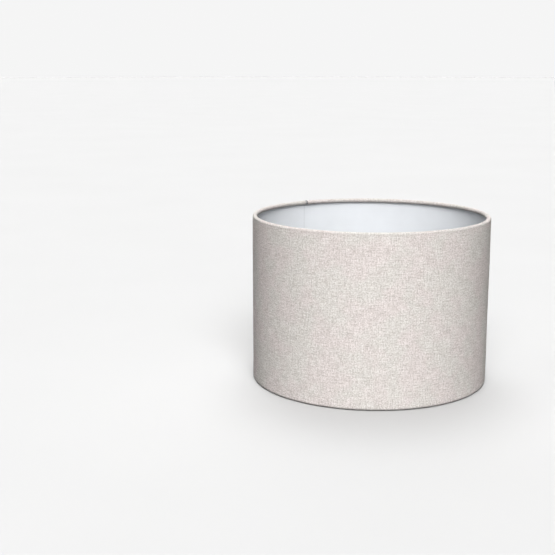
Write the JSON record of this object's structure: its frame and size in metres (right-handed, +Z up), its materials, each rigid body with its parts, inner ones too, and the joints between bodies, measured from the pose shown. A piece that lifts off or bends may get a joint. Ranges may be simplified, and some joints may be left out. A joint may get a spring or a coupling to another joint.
{
  "type": "lamp shade",
  "caption": "Hardback drum lamp shade in natural linen cloth on a white PVC lining, with rolled edges over wire rings, a gimbal fitter and a reducer ring.",
  "frame": {"origin": "centre of the circle that the bottom edge stands on", "axes": "+Z up along the shade's axis, +Y towards the overlapped seam, X along the gimbal's pivot axis"},
  "size_m": [0.3, 0.3013, 0.212],
  "materials": {
    "linen": "plain woven linen blend, heathered natural, matt",
    "lining": "smooth white PVC with a soft sheen",
    "tape": "clear double-sided adhesive film",
    "ring_wire": "dull galvanised steel wire",
    "washer_metal": "zinc-plated pressed steel, faintly spangled",
    "reducer_plastic": "moulded white plastic, fine spark texture"
  },
  "bodies": {
    "shade": {"fabric_cover": "linen", "pvc_lining": "lining", "seam_tape": "tape", "top_edge_tape": "tape", "bottom_edge_tape": "tape", "top_ring": "ring_wire", "bottom_ring": "ring_wire", "right_strut": "ring_wire", "left_strut": "ring_wire"},
    "fitter": {"gimbal_washer": "washer_metal"},
    "reducer": {"reducer_ring": "reducer_plastic"}
  },
  "joints": [
    {"name": "gimbal_tilt", "type": "hinge", "parent": "shade", "child": "fitter", "pos_m": [0, 0, 0.036], "axis": [1, 0, 0], "continuous": true},
    {"name": "reducer_lift", "type": "slide", "parent": "fitter", "child": "reducer", "axis": [0, 0, 1], "range_m": [0, 0.1]}
  ]
}
